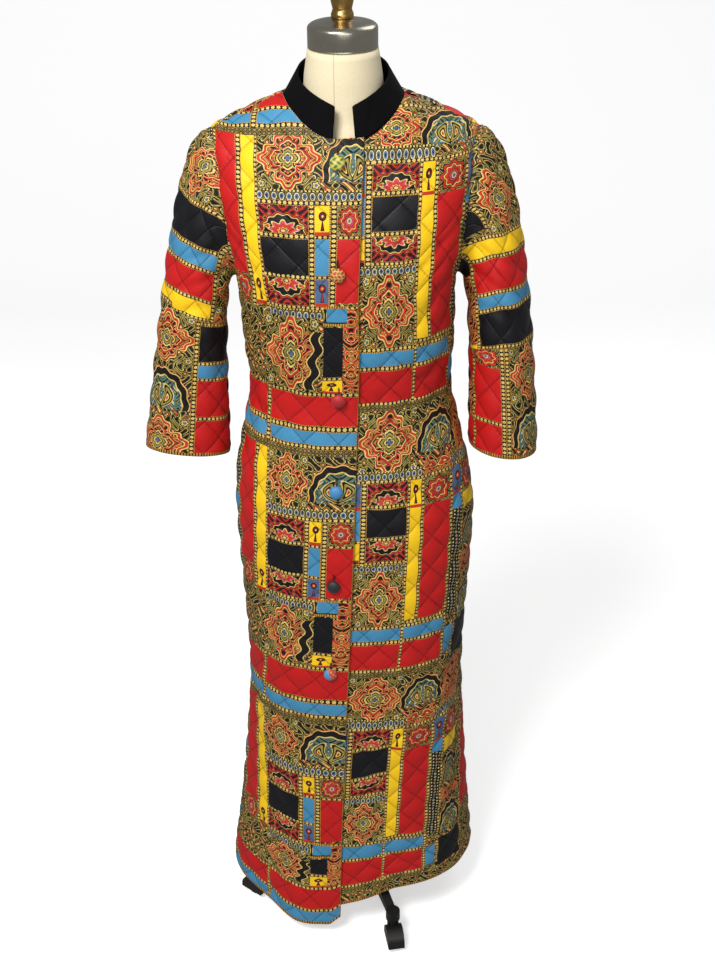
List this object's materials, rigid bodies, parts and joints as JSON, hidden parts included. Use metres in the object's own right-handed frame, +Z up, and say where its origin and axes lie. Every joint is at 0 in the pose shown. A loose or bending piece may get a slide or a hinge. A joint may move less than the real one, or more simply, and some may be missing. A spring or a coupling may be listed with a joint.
{
  "type": "quilted robe on dress form",
  "caption": "Long quilted robe with a velvet stand collar, cropped sleeves and a buttoned, overlapping front, worn by a limbless dress form on a cast base with casters.",
  "frame": {"origin": "bottom centre of the bounding box, on the floor the casters stand on", "axes": "+Z up; the robe's front faces -Y and the wearer's left is +X"},
  "size_m": [0.5996, 0.4062, 1.5683],
  "materials": {
    "robe_print": "matte, quilted",
    "collar_velvet": "matte pile",
    "button_1_cloth": "matte",
    "button_2_cloth": "matte",
    "button_3_cloth": "matte",
    "button_4_cloth": "matte",
    "button_5_cloth": "matte",
    "button_6_cloth": "matte",
    "form_linen": "matte, plain weave",
    "cap_steel": "brushed",
    "pole_steel": "bright",
    "knob_brass": "antique",
    "base_iron": "satin black",
    "caster_iron": "satin black",
    "wheel_rubber": "satin"
  },
  "bodies": {
    "root": {"robe_front_right": "robe_print", "robe_front_left": "robe_print", "robe_back": "robe_print", "robe_sleeve_right": "robe_print", "robe_sleeve_left": "robe_print", "robe_collar": "collar_velvet", "robe_button_1": "button_1_cloth", "robe_button_2": "button_2_cloth", "robe_button_3": "button_3_cloth", "robe_button_4": "button_4_cloth", "robe_button_5": "button_5_cloth", "robe_button_6": "button_6_cloth", "form_torso": "form_linen", "neck_cap": "cap_steel", "neck_knob": "knob_brass", "pole": "pole_steel", "base_hub": "base_iron", "base_leg_1": "base_iron", "base_leg_2": "base_iron", "base_leg_3": "base_iron", "base_leg_4": "base_iron"},
    "caster_1_hood": {"caster_1_hood": "caster_iron"},
    "caster_1_wheel": {"caster_1_wheel": "wheel_rubber"},
    "caster_2_hood": {"caster_2_hood": "caster_iron"},
    "caster_2_wheel": {"caster_2_wheel": "wheel_rubber"},
    "caster_3_hood": {"caster_3_hood": "caster_iron"},
    "caster_3_wheel": {"caster_3_wheel": "wheel_rubber"},
    "caster_4_hood": {"caster_4_hood": "caster_iron"},
    "caster_4_wheel": {"caster_4_wheel": "wheel_rubber"}
  },
  "joints": [
    {"name": "caster_1_swivel", "type": "hinge", "parent": "root", "child": "caster_1_hood", "pos_m": [0.0738, -0.16533, 0.05], "axis": [0, 0, 1], "continuous": true},
    {"name": "caster_1_roll", "type": "hinge", "parent": "caster_1_hood", "child": "caster_1_wheel", "pos_m": [0.07599, -0.17916, 0.017], "axis": [0.9877, 0.1564, 0], "continuous": true},
    {"name": "caster_2_swivel", "type": "hinge", "parent": "root", "child": "caster_2_hood", "pos_m": [0.18138, 0.06537, 0.05], "axis": [0, 0, 1], "continuous": true},
    {"name": "caster_2_roll", "type": "hinge", "parent": "caster_2_hood", "child": "caster_2_wheel", "pos_m": [0.1873, 0.07806, 0.017], "axis": [-0.9063, 0.4226, 0], "continuous": true},
    {"name": "caster_3_swivel", "type": "hinge", "parent": "root", "child": "caster_3_hood", "pos_m": [-0.04933, 0.17296, 0.05], "axis": [0, 0, 1], "continuous": true},
    {"name": "caster_3_roll", "type": "hinge", "parent": "caster_3_hood", "child": "caster_3_wheel", "pos_m": [-0.06145, 0.17996, 0.017], "axis": [-0.5, -0.866, 0], "continuous": true},
    {"name": "caster_4_swivel", "type": "hinge", "parent": "root", "child": "caster_4_hood", "pos_m": [-0.15691, -0.05775, 0.05], "axis": [0, 0, 1], "continuous": true},
    {"name": "caster_4_roll", "type": "hinge", "parent": "caster_4_hood", "child": "caster_4_wheel", "pos_m": [-0.16794, -0.04913, 0.017], "axis": [-0.6157, -0.788, 0], "continuous": true}
  ]
}
